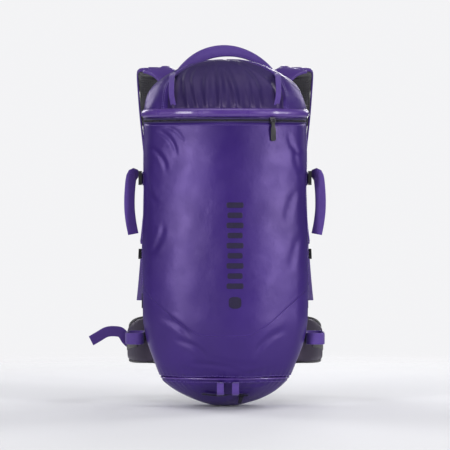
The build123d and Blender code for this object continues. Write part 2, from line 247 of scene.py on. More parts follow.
def add_mesh(name, verts, faces, mats, cloth=None, face_mats=None, merge=0.0, sharp=38):
    me = bpy.data.meshes.new(name)
    me.from_pydata(np.asarray(verts, float).reshape(-1, 3).tolist(), [], faces)
    for m in mats:
        me.materials.append(m)
    if face_mats is not None:
        me.polygons.foreach_set("material_index", np.asarray(face_mats, np.int32))
    if cloth is not None:
        layer = me.attributes.new("cloth", "FLOAT_VECTOR", "POINT")
        layer.data.foreach_set("vector", np.asarray(cloth, np.float32).reshape(-1))
    o = bpy.data.objects.new(name, me)
    bpy.context.scene.collection.objects.link(o)
    if merge:
        bm = bmesh.new()
        bm.from_mesh(me)
        bmesh.ops.remove_doubles(bm, verts=bm.verts, dist=merge)
        bmesh.ops.dissolve_degenerate(bm, edges=bm.edges, dist=1e-6)
        bm.to_mesh(me)
        bm.free()
    sharpen(o, sharp)
    me.update()
    return o


def grid_faces(rows, cols, closed=False, start=0, flip=False):
    faces = []
    for j in range(rows - 1):
        for i in range(cols if closed else cols - 1):
            k = (i + 1) % cols
            f = (start + j * cols + i, start + j * cols + k,
                 start + (j + 1) * cols + k, start + (j + 1) * cols + i)
            faces.append(f[::-1] if flip else f)
    return faces


def capped_ring(rows, cols):
    """Faces of a closed ring grid, then of its two end caps."""
    return grid_faces(rows, cols, closed=True) + [tuple(range(cols - 1, -1, -1)),
                                                  tuple(range((rows - 1) * cols, rows * cols))]


def shell(name, outer, inner, mats, cloth):
    """Closed sheet between two grids of the same size; inner faces take mats[1]."""
    rows, cols = outer.shape[:2]
    n = rows * cols
    faces = grid_faces(rows, cols)
    face_mats = [0] * len(faces)
    faces += grid_faces(rows, cols, start=n, flip=True)
    face_mats += [min(1, len(mats) - 1)] * (len(faces) - len(face_mats))
    edge = ([(0, i) for i in range(cols)] + [(j, cols - 1) for j in range(1, rows)]
            + [(rows - 1, i) for i in range(cols - 2, -1, -1)] + [(j, 0) for j in range(rows - 2, 0, -1)])
    index = [j * cols + i for j, i in edge]
    for a, b in zip(index, index[1:] + index[:1]):
        faces.append((b, a, a + n, b + n))
        face_mats.append(0)
    return add_mesh(name, np.concatenate([outer.reshape(-1, 3), inner.reshape(-1, 3)]), faces, mats,
                    np.concatenate([cloth.reshape(-1, 3)] * 2), face_mats)


def frames_along(points, dirs, widths, step, closed=False):
    """Samples of a smooth path: places, along, across, out, widths and distances."""
    pts = np.array(points, float) * MM
    dirs = np.array(dirs, float)
    dirs = np.tile(dirs, (len(pts), 1)) if dirs.ndim == 1 else dirs
    widths = np.full(len(pts), float(widths)) if np.ndim(widths) == 0 else np.array(widths, float)
    if closed:
        pts, dirs, widths = (np.concatenate([a[-2:], a, a[:3]]) for a in (pts, dirs, widths))
    s = np.concatenate([[0], np.cumsum(np.linalg.norm(np.diff(pts, axis=0), axis=1))])
    lo, hi = (s[2], s[-3]) if closed else (0, s[-1])
    n = max(6, int(round((hi - lo) / step)))
    at = np.linspace(lo, hi, n + 1)[:n if closed else n + 1]
    fit = curve(s, np.column_stack([pts, dirs, widths * MM]))
    rows, ahead, behind = fit(at), fit(np.minimum(at + 1e-4, s[-1])), fit(np.maximum(at - 1e-4, 0))
    along = unit(ahead[:, :3] - behind[:, :3])
    across = unit(rows[:, 3:6] - along * np.sum(rows[:, 3:6] * along, 1, keepdims=True))
    return rows[:, :3], along, across, unit(np.cross(along, across)), rows[:, 6], at - lo


def sweep(name, points, dirs, widths, thick, mat, step=0.004, closed=False, power=6, sides=18,
          taper=0.0, ripple=0.0, seed=1):
    """Webbing or rolled edge: a rounded flat section carried along a smooth path."""
    place, along, across, out, wide, at = frames_along(points, dirs, widths, step, closed)
    a = np.arange(sides) / sides * 2 * math.pi
    ca, sa = np.cos(a), np.sin(a)
    ea = np.sign(ca) * np.abs(ca) ** (2 / power)
    eb = np.sign(sa) * np.abs(sa) ** (2 / power * 1.6)
    deep = thick * MM * np.ones(len(at))
    if taper:
        ends = np.minimum(at, at[-1] - at) / taper
        deep = deep * (0.25 + 0.75 * np.sqrt(np.clip(1 - (1 - np.clip(ends, 0, 1)) ** 2, 0, 1)))
        wide = wide * (0.5 + 0.5 * np.sqrt(np.clip(1 - (1 - np.clip(ends, 0, 1)) ** 2, 0, 1)))
    w = 0.5 * wide[:, None] * ea
    t = 0.5 * deep[:, None] * eb
    if ripple:
        t = t + ripple * MM * swell(at[:, None], w, seed, 5, 0.045)
    verts = place[:, None] + across[:, None] * w[..., None] + out[:, None] * t[..., None]
    cloth = np.stack([np.broadcast_to(at[:, None], w.shape), w, t], -1)
    n = len(at)
    if closed:
        last = (n - 1) * sides
        faces = [f[::-1] for f in grid_faces(n, sides, closed=True)]
        faces += [(last + i, i, (i + 1) % sides, last + (i + 1) % sides) for i in range(sides)]
    else:
        faces = [f[::-1] for f in capped_ring(n, sides)]
    return add_mesh(name, verts, faces, [mat], cloth, sharp=50)


def _rounded_box():
    bm = bmesh.new()
    bmesh.ops.create_cube(bm, size=1.0)
    bmesh.ops.bevel(bm, geom=list(bm.edges), offset=0.2, segments=1, affect="EDGES")
    bm.verts.index_update()
    verts = np.array([v.co for v in bm.verts])
    faces = [tuple(v.index for v in f.verts) for f in bm.faces]
    bm.free()
    return verts, faces


BEAD = _rounded_box()


def beads(name, places, along, out, size, mat, skew=None):
    """One mesh of small rounded blocks, such as zip teeth or stitches; size is along, across, out."""
    places, along, out = (np.asarray(a, float).reshape(-1, 3) for a in (places, along, out))
    along = unit(np.broadcast_to(along, places.shape))
    out = np.broadcast_to(out, places.shape)
    out = unit(out - along * np.sum(out * along, 1, keepdims=True))
    across = np.cross(out, along)
    v = BEAD[0] * np.array(size) * MM
    verts = (places[:, None] + along[:, None] * v[None, :, :1] + across[:, None] * v[None, :, 1:2]
             + out[:, None] * v[None, :, 2:3])
    n = len(v)
    faces = [tuple(i + k * n for i in f) for k in range(len(places)) for f in BEAD[1]]
    return add_mesh(name, verts, faces, [mat], sharp=60)


def stitch_run(points, normals, pitch=4.2):
    """Places and directions of stitches along a dense line of points."""
    points, normals = np.asarray(points), np.asarray(normals)
    s = np.concatenate([[0], np.cumsum(np.linalg.norm(np.diff(points, axis=0), axis=1))])
    at = np.arange(pitch / 2 * MM, s[-1], pitch * MM)
    place = np.column_stack([np.interp(at, s, points[:, i]) for i in range(3)])
    ahead = np.column_stack([np.interp(at + 1e-3, s, points[:, i]) for i in range(3)])
    behind = np.column_stack([np.interp(at - 1e-3, s, points[:, i]) for i in range(3)])
    n = np.column_stack([np.interp(at, s, normals[:, i]) for i in range(3)])
    return place, ahead - behind, n


def stitches(name, runs, size=(2.8, 0.7, 0.7)):
    joined = [np.concatenate([r[i] for r in runs]) for i in range(3)]
    return beads(name, *joined, size, M["thread"])


def skin_row(l, z, out):
    v = run_at(z)
    return stitch_run(bag(l, v, skin_relief(l, z) + out), bag_normal(l, v))


def read(items, key):
    out = np.zeros(len(items) * 3)
    items.foreach_get(key, out)
    return out.reshape(-1, 3)


def coords(o):
    return read(o.data.vertices, "co")


def set_coords(o, co):
    o.data.vertices.foreach_set("co", np.asarray(co).ravel())
    o.data.update()


def mirrored(o, name):
    me = o.data.copy()
    me.name = name
    other = bpy.data.objects.new(name, me)
    bpy.context.scene.collection.objects.link(other)
    me.flip_normals()
    set_coords(other, coords(other) * (-1, 1, 1))
    return other


def settle(o, body, slot, *nodes):
    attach(o, body)
    if nodes:
        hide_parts(*nodes)
    return o


# ---- materials ----------------------------------------------------------------------
def srgb(r, g, b):
    return tuple(((c / 255 + 0.055) / 1.055) ** 2.4 if c > 10 else c / 3294.6 for c in (r, g, b)) + (1,)


class Shader:
    """A Principled material and short calls for its nodes."""

    def __init__(self, name, **values):
        self.mat = bpy.data.materials.new(name)
        self.mat.use_nodes = True
        self.tree = self.mat.node_tree
        self.main = self.tree.nodes["Principled BSDF"]
        for key, value in values.items():
            self.main.inputs[key.replace("_", " ")].default_value = value
        self.place = self.add("ShaderNodeTexCoord").outputs["Object"]

    def add(self, kind, sets=None, **links):
        node = self.tree.nodes.new(kind)
        for key, value in (sets or {}).items():
            setattr(node, key, value)
        for key, value in links.items():
            self.put(node.inputs[int(key[1:]) if key[1:].isdigit() else key.replace("_", " ")], value)
        return node

    def put(self, socket, value):
        if isinstance(value, bpy.types.NodeSocket):
            self.tree.links.new(value, socket)
        else:
            socket.default_value = value

    def cloth(self):
        return self.add("ShaderNodeAttribute", {"attribute_name": "cloth"}).outputs["Vector"]

    def noise(self, scale, detail=2.0):
        return self.add("ShaderNodeTexNoise", Vector=self.place, Scale=scale, Detail=detail).outputs["Fac"]

    def span(self, value, a, b, c, d):
        n = self.add("ShaderNodeMapRange", Value=value, From_Min=a, From_Max=b, To_Min=c, To_Max=d)
        return n.outputs["Result"]

    def math(self, kind, a, b=0.0):
        return self.add("ShaderNodeMath", {"operation": kind}, i0=a, i1=b).outputs[0]

    def mix(self, fac, a, b):
        n = self.add("ShaderNodeMix", {"data_type": "RGBA"}, Factor=fac)
        self.put(n.inputs[6], a)
        self.put(n.inputs[7], b)
        return n.outputs[2]

    def weave(self, period):
        """Plain weave: threads over and under each other."""
        xyz = self.add("ShaderNodeSeparateXYZ", Vector=self.cloth())
        k = 2 * math.pi / period
        a = self.math("SINE", self.math("MULTIPLY", xyz.outputs[0], k))
        b = self.math("SINE", self.math("MULTIPLY", xyz.outputs[1], k))
        return self.math("MULTIPLY", a, b)

    def bump(self, *layers):
        """layers: (height, distance in metres), the broadest first."""
        normal = None
        for height, distance in layers:
            n = self.add("ShaderNodeBump", Height=height, Distance=distance, Strength=1.0)
            if normal is not None:
                self.tree.links.new(normal, n.inputs["Normal"])
            normal = n.outputs["Normal"]
        self.put(self.main.inputs["Normal"], normal)

    def worn(self, colour, pale, start=0.53, end=0.62, most=0.5):
        """Paler where an edge is rubbed."""
        rub = self.add("ShaderNodeNewGeometry").outputs["Pointiness"]
        mask = self.math("MULTIPLY", self.span(rub, start, end, 0, most), self.noise(90, 3))
        return self.mix(mask, colour, pale)

    def base(self, colour):
        self.put(self.main.inputs["Base Color"], colour)

    def rough(self, scale, low, high, detail=2.0):
        self.put(self.main.inputs["Roughness"], self.span(self.noise(scale, detail), 0.3, 0.7, low, high))


def coated(name, light, dark, rough, coat, weave_deep=0.00009, weave=0.0011, sheen=0.02, film=0.22,
           pearl=0.0):
    """Tightly woven, film-coated nylon; pearl tints its gloss with the cloth's own colour."""
    s = Shader(name, Coat_Weight=coat, Coat_Roughness=film, Sheen_Weight=sheen, Sheen_Roughness=0.5,
               Specular_IOR_Level=0.5, Metallic=pearl)
    s.main.inputs["Sheen Tint"].default_value = srgb(170, 140, 230)
    s.main.inputs["Specular Tint"].default_value = (0.85, 0.66, 1.0, 1)
    patch = s.noise(7, 3)
    thread = s.weave(weave)
    colour = s.mix(s.span(patch, 0.3, 0.7, 0, 1), srgb(*dark), srgb(*light))
    colour = s.mix(s.span(thread, -1, 1, 0.16, 0), colour, srgb(*[c * 0.55 for c in dark]))
    s.base(s.worn(colour, srgb(*[min(255, c * 1.35 + 14) for c in light])))
    s.rough(38, rough - 0.05, rough + 0.06, 4)
    s.bump((s.noise(26, 3), 0.0008), (s.noise(120, 2), 0.00014), (thread, weave_deep))
    return s.mat


def webbing(name, light, dark, rough=0.62):
    s = Shader(name, Sheen_Weight=0.25, Sheen_Roughness=0.4)
    xyz = s.add("ShaderNodeSeparateXYZ", Vector=s.cloth())
    rib = s.math("SINE", s.math("MULTIPLY", xyz.outputs[0], 2 * math.pi / 0.0019))
    cord = s.math("SINE", s.math("MULTIPLY", xyz.outputs[1], 2 * math.pi / 0.0034))
    knit = s.math("MULTIPLY", rib, s.math("ADD", s.math("MULTIPLY", cord, 0.35), 0.65))
    colour = s.mix(s.span(knit, -1, 1, 0, 1), srgb(*dark), srgb(*light))
    s.base(s.mix(s.span(s.noise(30, 3), 0.35, 0.7, 0, 0.35), colour, srgb(*dark)))
    s.rough(200, rough - 0.06, rough + 0.06)
    s.bump((s.noise(60, 2), 0.0004), (knit, 0.00022))
    return s.mat


def spacer_mesh(name, light, dark):
    """Open knitted spacer mesh; its holes take the near-black dark colour, painted shade inside the openings.
    """
    s = Shader(name, Sheen_Weight=0.35, Sheen_Roughness=0.5)
    cell = s.add("ShaderNodeTexVoronoi", {"feature": "F1"}, Vector=s.place, Scale=310, Randomness=0.35)
    hole = s.span(cell.outputs["Distance"], 0.28, 0.55, 0, 1)
    # painted shade: the holes are coloured near-black, darker than the mesh's own threads
    s.base(s.mix(hole, srgb(*dark), s.mix(s.noise(14, 3), srgb(*light), srgb(*[c * 0.7 for c in light]))))
    s.put(s.main.inputs["Roughness"], s.span(hole, 0, 1, 0.95, 0.74))
    s.bump((s.noise(45, 3), 0.0008), (hole, 0.0007))
    return s.mat


def plastic(name, tone, rough=0.42, metal=0.0):
    s = Shader(name, Metallic=metal, Specular_IOR_Level=0.35)
    grain = s.noise(900, 2)
    colour = s.mix(s.noise(25, 3), srgb(*tone), srgb(*[min(255, c * 1.3 + 5) for c in tone]))
    dust = srgb(*[min(255, c * 1.5 + 14) for c in tone])
    s.base(s.mix(s.span(s.noise(140, 4), 0.58, 0.75, 0, 0.25), colour, dust))
    s.rough(60, rough - 0.09, rough + 0.1, 4)
    s.bump((s.noise(70, 2), 0.00025), (grain, 0.00005))
    return s.mat


def knit_lining(name, light, dark):
    s = Shader(name, Sheen_Weight=0.2)
    thread = s.weave(0.0016)
    colour = s.mix(s.noise(12, 3), srgb(*light), srgb(*dark))
    s.base(s.mix(s.span(thread, -1, 1, 0.3, 0), colour, srgb(*[c * 0.6 for c in dark])))
    s.rough(50, 0.68, 0.82)
    s.bump((s.noise(30, 3), 0.0012), (thread, 0.00016))
    return s.mat


PURPLE, DEEP = (60, 37, 119), (51, 31, 105)
M = {
    "shell": coated("shell_fabric", PURPLE, DEEP, 0.36, 0.04, 0.00002, film=0.3, pearl=0.14),
    "hood": coated("hood_fabric", (46, 32, 90), (34, 23, 70), 0.45, 0.04, 0.00004, 0.0016, 0.04),
    "yoke": coated("hood_side_fabric", PURPLE, DEEP, 0.4, 0.04, 0.00003, film=0.3, pearl=0.1),
    "base": coated("base_fabric", PURPLE, DEEP, 0.4, 0.04, 0.00003, 0.0014, film=0.3, pearl=0.1),
    "ridge": coated("ridge_fabric", (88, 56, 148), (76, 46, 132), 0.3, 1.0, 0.00004, 0.0011, 0.02, 0.19),
    "web": webbing("web_purple", (98, 66, 162), (66, 40, 122)),
    "tape": webbing("web_black", (44, 42, 48), (20, 19, 23)),
    "mesh": spacer_mesh("mesh_black", (50, 47, 58), (12, 11, 14)),
    "strap": coated("strap_shell", (88, 58, 152), (70, 43, 128), 0.52, 0.2),
    "belt": coated("belt_shell", (54, 50, 62), (38, 35, 44), 0.52, 0.06, 0.00016, 0.0016),
    "lining": knit_lining("lining", (122, 120, 132), (98, 96, 110)),
    "zip": webbing("zip_tape", (60, 42, 108), (44, 30, 84)),
    "tooth": plastic("zip_teeth", (24, 22, 30), 0.32),
    "buckle": plastic("buckle_black", (20, 20, 23), 0.46),
    "slider": plastic("zip_slider", (40, 38, 46), 0.34, 0.6),
    "sheet": plastic("frame_plastic", (58, 58, 63), 0.5),
    "stay": plastic("stay_metal", (170, 172, 178), 0.3, 1.0),
    "thread": webbing("thread", (126, 98, 188), (96, 72, 156)),
    "dark_thread": webbing("dark_thread", (60, 52, 80), (34, 29, 46)),
    "print": plastic("soft_print", (21, 13, 42), 0.62),
}


# ---- bag skin -----------------------------------------------------------------------
def spaced(*parts):
    """Values from (start, end, step) runs, ends included once."""
    out = []
    for a, b, step in parts:
        n = max(1, int(round((b - a) / step)))
        out += list(np.linspace(a, b, n + 1)[:-1])
    return out + [parts[-1][1]]


def ring(half):
    """Columns right round the bag, from those of its right half."""
    return np.array([-a for a in half[:0:-1]] + half[:-1])


def skin_columns():
    return ring(spaced((0, FLAP_EDGE + 0.0004, 0.0032), (FLAP_EDGE + 0.0004, L2 + 0.004, 0.003),
                       (L2 + 0.004, L5, 0.0062)))


def main_bag():
    cols = skin_columns()
    front = np.abs(cols) < FLAP_EDGE + 0.0005
    low = flap_low(cols)
    z0, z3 = SEAM_BOOT + 0.4 * MM, SEAM_HOOD - 0.4 * MM
    rows_a = np.linspace(0, 1, 26)[:, None]
    rows_b = np.linspace(0, 1, 96)[:, None]
    rows_c = np.linspace(0, 1, 6)[:, None]
    za, zb = z0 + (low - z0) * rows_a, low + (POCKET_TOP - low) * rows_b
    zc = POCKET_TOP + (z3 - POCKET_TOP) * rows_c + 0 * cols
    skin = []
    for z in (za, zb, zc):
        l = np.broadcast_to(cols, z.shape)
        skin.append(bag(l, run_at(z), skin_relief(l, z)))
    wall = skin[1]
    inner = bag(np.broadcast_to(cols, zb.shape), run_at(zb), -0.0045)
    side = np.abs(cols) > 0.150
    wall[:, front, 1] = np.maximum(DIVIDER_Y, inner[:, front, 1])
    wall[:, front & side] = np.where(np.array([True, False, True]), inner[:, front & side],
                                     np.maximum(inner[:, front & side, 1:2], DIVIDER_Y))
    verts = np.concatenate(skin)
    z = np.concatenate([za, zb, zc])
    cloth = np.stack([np.broadcast_to(cols, z.shape), z, 0 * z], -1)
    rows, n = verts.shape[0], len(cols)
    na, nb = len(rows_a), len(rows_b)
    face_mats = []
    for j in range(rows - 1):
        for i in range(n):
            inside = front[i] and front[(i + 1) % n] and na - 1 <= j < na + nb
            face_mats.append(1 if inside else 0)
    # the end caps are the seam allowances that close the skin at the boot and the hood
    o = add_mesh("main_bag_skin", verts, capped_ring(rows, n), [M["shell"], M["lining"]], cloth,
                 face_mats + [0, 0], 2e-5)
    settle(o, "pack", "shell_fabric", "main_bag")


def front_panel():
    cols = np.array(spaced((-FLAP_EDGE, FLAP_EDGE, 0.0028)))
    t = np.linspace(0, 1, 132)[:, None]
    low = flap_low(cols) + 0.2 * MM
    z = low + (FLAP_TOP - low) * t
    l = np.broadcast_to(cols, z.shape)
    relief = skin_relief(l, z)
    rim = np.minimum(FLAP_EDGE - np.abs(l), FLAP_TOP - z)
    relief = relief - 1.3 * MM * bell(rim, 0.0022) - 0.3 * MM * bell(z - low, 0.0016)
    outer = bag(l, run_at(z), relief)
    inner = bag(l, run_at(z), np.minimum(relief, 0) - 2.8 * MM)
    cloth = np.stack([l, z, 0 * z], -1)
    o = shell("front_panel", outer, inner, [M["shell"], M["lining"]], cloth)
    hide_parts("front_flap")
    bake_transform(o)
    return o


def panel_spot(x, z, out=0.0):
    """Points on the front panel at x and z, and the outward direction there."""
    l = round_from(x, z)
    place = bag(l, run_at(z), skin_relief(l, z) + out)
    return place, bag_normal(l, run_at(z))


def printed_bars():
    """Plain upright column of soft-edged bars printed on the panel."""
    verts, faces, cloth = [], [], []
    bars = [(17, 238 - 17.2 * i, 15.5 - 1.6 * (i % 2), 5.4) for i in range(9)]
    bars += [(17, 72, 11.5, 11.5)]
    for cx, cz, hx, hz in bars:
        nu, nv = 21, 11
        u, v = np.meshgrid(np.linspace(-1, 1, nu), np.linspace(-1, 1, nv))
        # square mapped to a rounded bar
        r = np.minimum(hx, hz) * 0.75
        x, z = u * hx, v * hz
        ox, oz = np.maximum(np.abs(x) - (hx - r), 0), np.maximum(np.abs(z) - (hz - r), 0)
        big = np.maximum(ox, oz) / np.maximum(np.hypot(ox, oz), 1e-9)
        x = np.where(np.hypot(ox, oz) > 0, np.sign(x) * (np.minimum(np.abs(x), hx - r) + ox * big), x)
        z = np.where(np.hypot(ox, oz) > 0, np.sign(z) * (np.minimum(np.abs(z), hz - r) + oz * big), z)
        X, Z = (cx + x) * MM, (cz + z) * MM
        top, _ = panel_spot(X, Z, 0.00035)
        sunk, _ = panel_spot(X, Z, -0.0006)
        rim = (np.abs(u) > 0.999) | (np.abs(v) > 0.999)
        base = len(verts)
        p = np.where(rim[..., None], sunk, top).reshape(-1, 3)
        verts += list(p)
        cloth += [(a, b, 0) for a, b in zip(X.ravel(), Z.ravel())]
        faces += grid_faces(nv, nu, start=base)
    o = add_mesh("front_print", verts, faces, [M["print"]], cloth)
    settle(o, "front_flap", "shell_fabric")


def hood():
    seam = curve(np.array([398, 440, 466, 481, 492]) * MM, np.array([104, 112, 124, 128, 130]) * MM, True)
    c = ring(spaced((0, HOOD_HALF, 0.0019), (HOOD_HALF, L2, 0.0045), (L2, L5, 0.0075)))
    v = np.linspace(run_at(SEAM_HOOD + 0.4 * MM), RUN[-1] - 0.0006, 62)[:, None] + 0 * c
    z = PROFILE[0](v)
    a, edge = np.abs(c), seam(z)
    beside = edge + (a - HOOD_HALF) / (L2 - HOOD_HALF) * (L2 - edge)
    l = np.sign(c) * np.where(a < HOOD_HALF, a / HOOD_HALF * edge, np.where(a < L2, beside, a))
    up = (v - v[0, 0]) / (v[-1, 0] - v[0, 0])
    # gathered drapes run up the dark centre panel, each with its own lean and depth
    rng = np.random.default_rng(23)
    drape = 0 * z
    for i in range(9):
        at = -0.082 + 0.0204 * i + rng.uniform(-0.0045, 0.0045)
        lean, wide = rng.uniform(-0.044, -0.012), rng.uniform(0.0050, 0.0080)
        tall, deep = rng.uniform(0.5, 0.8), rng.uniform(4.4, 7.0) * MM
        s = (c - at - lean * up - 0.003 * np.sin(up * 6 + at * 90)) / wide
        fade = (1 - ease(up / tall)) * (0.3 + 0.7 * ease(up / 0.07))
        drape = drape + deep * (bell(s, 1) - 0.5 * bell(s, 2)) * fade
    relief = np.where(a < HOOD_HALF, drape * ease((HOOD_HALF - a) / 0.008),
                      0.8 * MM * swell(l, z, 31, 6, 0.05))
    relief = relief * (1 - 0.8 * ease((up - 0.75) / 0.25))
    relief = relief - 1.6 * MM * bell(a - HOOD_HALF, 0.0022) + 1.2 * MM * bell(a - 0.1005, 0.004)
    relief = relief - 2.0 * MM * bell(z - SEAM_HOOD, 0.0028)
    verts = bag(l, v, relief)
    cloth = np.stack([l, v, 0 * v], -1)
    rows, n = v.shape
    face_mats = [0 if abs(c[i]) < HOOD_HALF - 0.0005 and abs(c[(i + 1) % n]) < HOOD_HALF + 0.0005 else 1
                 for _ in range(rows - 1) for i in range(n)]
    o = add_mesh("hood_skin", verts, capped_ring(rows, n), [M["hood"], M["yoke"]], cloth, face_mats + [1, 1])
    settle(o, "pack", "hood_fabric", "top_hood")
    # double row of stitches outside each side seam
    runs = []
    for side in (-1, 1):
        for off in (0.0045, 0.0078):
            vv = np.linspace(v[1, 0], run_at(0.478), 80)
            ll = side * (seam(PROFILE[0](vv)) + off)
            runs.append(stitch_run(bag(ll, vv, 0.0013), bag_normal(ll, vv), 4.4))
    settle(stitches("hood_stitches", runs, (2.9, 0.7, 0.7)), "pack", "hood_fabric")


def boot():
    c = skin_columns()
    v = np.linspace(0.0006, run_at(SEAM_BOOT - 0.4 * MM), 44)[:, None] + 0 * c
    z = PROFILE[0](v)
    l = np.broadcast_to(c, v.shape)
    relief = 1.0 * MM * swell(l, z, 41, 7, 0.07) * ease((v - 0.03) / 0.05)
    relief = relief - 2.0 * MM * bell(z - SEAM_BOOT, 0.0028)
    relief = relief + 0.6 * MM * bell(z - SEAM_BOOT, 0.012) * np.sin(l / 0.0027 + 2 * np.sin(l / 0.018))
    relief = wrinkled(relief, l, z, BOOT_CREASES)
    o = add_mesh("base_skin", bag(l, v, relief), capped_ring(*v.shape), [M["base"]],
                 np.stack([l, v, 0 * v], -1))
    settle(o, "pack", "base_fabric", "bottom_boot")


def front_line(l, z, out):
    """Line across the front at one height: points in mm, and the up direction at each."""
    v = run_at(z)
    p = bag(l, v + 0 * l, out)
    up = unit(bag_surface(l, v + 5e-4 + 0 * l) - bag_surface(l, v - 5e-4 + 0 * l))
    return p, up


def seams():
    """Rolled ridge over the zip, piping at the base seam, and top-stitching."""
    l = np.linspace(-0.168, 0.168, 60)
    p, up = front_line(l, 0.3962, 0.0010)
    ridge = sweep("ridge_roll", p / MM, up, 15.0, 9.6, M["ridge"], 0.003, power=2.2, sides=24,
                  taper=0.016, ripple=0.3, seed=3)
    settle(ridge, "pack", "shell_fabric", "storm_flap")
    l = np.linspace(-0.400, 0.400, 140)
    for name, part, z, mat, slot in (("base_piping", l, SEAM_BOOT, "ridge", "base_fabric"),
                                     ("hood_piping_right", l[l > 0.168], SEAM_HOOD, "yoke", "hood_fabric"),
                                     ("hood_piping_left", l[l < -0.168], SEAM_HOOD, "yoke", "hood_fabric")):
        p, up = front_line(part, z, -0.0010)
        settle(sweep(name, p / MM, up, 3.0, 3.0, M[mat], 0.004, power=2, sides=10), "pack", slot)
    runs = []
    dense = np.linspace(-0.39, 0.39, 500)
    for z in (SEAM_BOOT + 0.0052, SEAM_BOOT - 0.0050):
        v = run_at(z) + 0 * dense
        runs.append(stitch_run(bag(dense, v, skin_relief(dense, z + 0 * dense) * (z > SEAM_BOOT) + 0.0003),
                               bag_normal(dense, v)))
    settle(stitches("seam_stitches", runs), "pack", "shell_fabric")
    across = np.linspace(-FLAP_EDGE + 0.005, FLAP_EDGE - 0.005, 400)
    runs = [skin_row(across, FLAP_TOP - 0.0045 + 0 * across, 0.0005)]
    upward = np.linspace(0.106, FLAP_TOP - 0.006, 300)
    runs += [skin_row(side * (FLAP_EDGE - 0.0045) + 0 * upward, upward, 0.0005) for side in (-1, 1)]
    settle(stitches("panel_stitches", runs), "front_flap", "shell_fabric")


def zip_side(name, body, slot, p, up, out, tape_off, tooth_off, wide, nodes=(), pitch=2.6, shift=0.0):
    """One half of a zip: tape and teeth along a line."""
    settle(sweep(name + "_tape", (p + up * tape_off) / MM, up, wide, 1.3, M["zip"], 0.004, power=5,
                 sides=12), body, slot, *nodes)
    s = np.concatenate([[0], np.cumsum(np.linalg.norm(np.diff(p, axis=0), axis=1))])
    at = np.arange(0.004 + shift * pitch * MM, s[-1] - 0.003, pitch * MM)
    pick = lambda a: np.column_stack([np.interp(at, s, a[:, i]) for i in range(3)])
    place = pick(p + up * tooth_off + out * 0.0007)
    settle(beads(name + "_teeth", place, pick(np.gradient(p, axis=0)), pick(out), (1.5, 2.6, 1.7),
                 M["tooth"]), body, slot)


def zips():
    l = np.linspace(-0.158, 0.158, 120)
    v = run_at(ZIP_Z) + 0 * l
    p, n = bag(l, v, 0.0002), bag_normal(l, v)
    up = unit(np.cross(n, np.gradient(p, axis=0))) * -1
    up = up * np.sign(up[:, 2:3])
    zip_side("flap_zip", "front_flap", "zip_black", p, up, n, -0.0023, -0.0006, 2.4, ["flap_zip_chain"])
    zip_side("front_zip", "pack", "zip_black", p, up, n, 0.0027, 0.0008, 3.0, ["front_zip_chain"],
             shift=0.5)
    x = np.linspace(-42, 42, 40)
    low, high = np.array([0, -132, -94.0]), np.array([0, -151, -80.0])
    slope = unit(high - low)
    out = np.array([0, -slope[2], slope[1]])
    out = out if out[1] < 0 else -out
    mid = (low + high) / 2 + out * 1.2
    bow = BOW * (66 + 90) / 2
    line = mid + np.column_stack([x, bow - np.sqrt(bow ** 2 - x ** 2), 1.0 * np.sin(x / 8)])
    up = np.tile(slope, (len(x), 1))
    nn = np.tile(out, (len(x), 1))
    for side, k in (("upper", 1), ("lower", -1)):
        zip_side("stash_zip_" + side, "pack", "zip_black", line * MM, up, nn, k * 0.0024, k * 0.0007, 3.0,
                 ["stash_zip_chain"] if k > 0 else (), shift=0.25 + 0.25 * k)
    # arch on the back panel
    a = np.linspace(0, math.pi / 2, 14)
    r, xb, zt = 33, 116, 450
    right = [(xb, z) for z in np.linspace(60, zt - 3 - r, 40)]
    right += [(xb - r + r * math.cos(t), zt - 3 - r + r * math.sin(t)) for t in a]
    arch = right + [(-px, pz) for px, pz in right[::-1]]
    line = np.array([(px, -16.9, pz) for px, pz in arch])
    tangent = unit(np.gradient(line, axis=0))
    side = np.cross(tangent, (0, 1, 0))
    nn = np.tile((0, 1.0, 0), (len(line), 1))
    for name, k in (("inner", -1), ("outer", 1)):
        zip_side("back_zip_" + name, "pack", "zip_black", line * MM, side, nn, k * 0.0022, k * 0.0007, 3.0,
                 ["back_zip_chain"] if k > 0 else (), shift=0.25 + 0.25 * k)


# ---- straps and loops ---------------------------------------------------------------
def arc3(a, b, c, n):
    """Points and outward directions on the arc through three points."""
    a, b, c = (np.array(p, float) for p in (a, b, c))
    d = 2 * (a[0] * (b[1] - c[1]) + b[0] * (c[1] - a[1]) + c[0] * (a[1] - b[1]))
    ux = ((a @ a) * (b[1] - c[1]) + (b @ b) * (c[1] - a[1]) + (c @ c) * (a[1] - b[1])) / d
    uy = ((a @ a) * (c[0] - b[0]) + (b @ b) * (a[0] - c[0]) + (c @ c) * (b[0] - a[0])) / d
    t0, t1 = math.atan2(a[1] - uy, a[0] - ux), math.atan2(c[1] - uy, c[0] - ux)
    r = math.hypot(a[0] - ux, a[1] - uy)
    t = np.linspace(t0, t1, n)
    radial = np.column_stack([np.cos(t), np.sin(t)])
    return (ux, uy) + r * radial, radial


